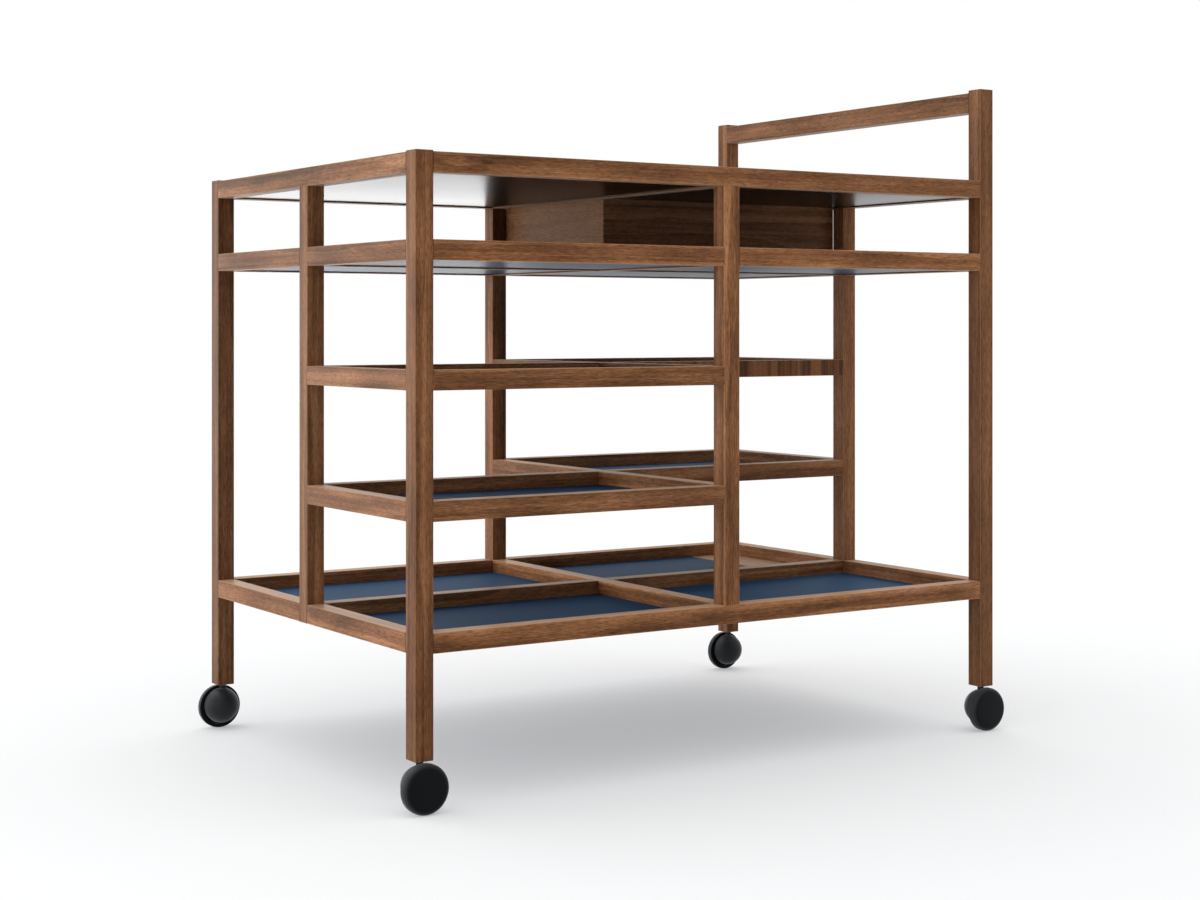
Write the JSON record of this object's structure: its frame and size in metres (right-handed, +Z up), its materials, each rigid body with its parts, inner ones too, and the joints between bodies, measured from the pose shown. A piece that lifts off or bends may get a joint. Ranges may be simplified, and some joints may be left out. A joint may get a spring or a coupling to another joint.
{
  "type": "cheese trolley",
  "caption": "Walnut serving trolley on swivel castors, with divided trays, staggered shelves, a drawer under the black top and a raised handle rail at one end.",
  "frame": {"origin": "on the floor under the middle of the frame", "axes": "+X along the length towards the handle rail, +Y to the side where the drawer opens, +Z up"},
  "size_m": [0.9916, 0.6554, 0.936],
  "materials": {
    "walnut_frame": "satin oiled walnut, grain along each member",
    "walnut_board": "satin oiled walnut boards",
    "panel_black": "glossy black laminate",
    "panel_blue": "dark blue satin laminate",
    "castor_plastic": "satin black",
    "castor_steel": "plain steel pins and sleeves"
  },
  "bodies": {
    "frame": {"bottom_end_board": "walnut_board", "bottom_panels": "panel_blue", "bottom_rail_back": "walnut_frame", "bottom_rail_cross": "walnut_frame", "bottom_rail_front": "walnut_frame", "bottom_rail_long": "walnut_frame", "bottom_rails_side": "walnut_frame", "drawer_runners": "walnut_board", "fourth_panels": "panel_blue", "fourth_rail_cross": "walnut_frame", "fourth_rail_long": "walnut_frame", "fourth_rails_outer": "walnut_frame", "handle_rail": "walnut_frame", "housing_inner": "walnut_board", "housing_left": "walnut_board", "housing_right": "walnut_board", "post_back_left": "walnut_frame", "post_back_middle": "walnut_frame", "post_back_right": "walnut_frame", "post_front_left": "walnut_frame", "post_front_middle": "walnut_frame", "post_front_right": "walnut_frame", "post_left_middle": "walnut_frame", "post_right_middle": "walnut_frame", "second_panels": "panel_blue", "second_rail_cross": "walnut_frame", "second_rail_long": "walnut_frame", "second_rails_back": "walnut_frame", "second_rails_front": "walnut_frame", "second_rails_left": "walnut_frame", "second_rails_right": "walnut_frame", "third_panels": "panel_blue", "third_rail_cross": "walnut_frame", "third_rail_long": "walnut_frame", "third_rails_outer": "walnut_frame", "top_panel_left": "panel_black", "top_panel_right": "panel_black", "top_rail_back": "walnut_frame", "top_rail_cross": "walnut_frame", "top_rail_front": "walnut_frame", "top_rail_left": "walnut_frame", "top_rail_right": "walnut_frame", "castor_sockets": "castor_steel"},
    "drawer": {"drawer_front": "walnut_board", "drawer_sides": "walnut_board", "drawer_back": "walnut_board", "drawer_base": "walnut_board"},
    "castor_front_left": {"castor_front_left_hood": "castor_plastic", "castor_front_left_pins": "castor_steel"},
    "wheel_front_left": {"castor_front_left_wheel": "castor_plastic"},
    "castor_front_right": {"castor_front_right_hood": "castor_plastic", "castor_front_right_pins": "castor_steel"},
    "wheel_front_right": {"castor_front_right_wheel": "castor_plastic"},
    "castor_back_left": {"castor_back_left_hood": "castor_plastic", "castor_back_left_pins": "castor_steel"},
    "wheel_back_left": {"castor_back_left_wheel": "castor_plastic"},
    "castor_back_right": {"castor_back_right_hood": "castor_plastic", "castor_back_right_pins": "castor_steel"},
    "wheel_back_right": {"castor_back_right_wheel": "castor_plastic"}
  },
  "joints": [
    {"name": "drawer_slide", "type": "slide", "parent": "frame", "child": "drawer", "axis": [0, 1, 0], "range_m": [0, 0.2]},
    {"name": "castor_front_left_swivel", "type": "hinge", "parent": "frame", "child": "castor_front_left", "pos_m": [-0.4625, -0.3085, 0.065], "axis": [0, 0, 1], "continuous": true},
    {"name": "castor_front_left_roll", "type": "hinge", "parent": "castor_front_left", "child": "wheel_front_left", "pos_m": [-0.4605, -0.3085, 0.03125], "axis": [0, 1, 0], "continuous": true},
    {"name": "castor_front_right_swivel", "type": "hinge", "parent": "frame", "child": "castor_front_right", "pos_m": [0.4625, -0.3085, 0.065], "axis": [0, 0, 1], "continuous": true},
    {"name": "castor_front_right_roll", "type": "hinge", "parent": "castor_front_right", "child": "wheel_front_right", "pos_m": [0.4645, -0.3085, 0.03125], "axis": [0, 1, 0], "continuous": true},
    {"name": "castor_back_left_swivel", "type": "hinge", "parent": "frame", "child": "castor_back_left", "pos_m": [-0.4625, 0.3085, 0.065], "axis": [0, 0, 1], "continuous": true},
    {"name": "castor_back_left_roll", "type": "hinge", "parent": "castor_back_left", "child": "wheel_back_left", "pos_m": [-0.4645, 0.3085, 0.03125], "axis": [0, 1, 0], "continuous": true},
    {"name": "castor_back_right_swivel", "type": "hinge", "parent": "frame", "child": "castor_back_right", "pos_m": [0.4625, 0.3085, 0.065], "axis": [0, 0, 1], "continuous": true},
    {"name": "castor_back_right_roll", "type": "hinge", "parent": "castor_back_right", "child": "wheel_back_right", "pos_m": [0.4605, 0.3085, 0.03125], "axis": [0, 1, 0], "continuous": true}
  ]
}
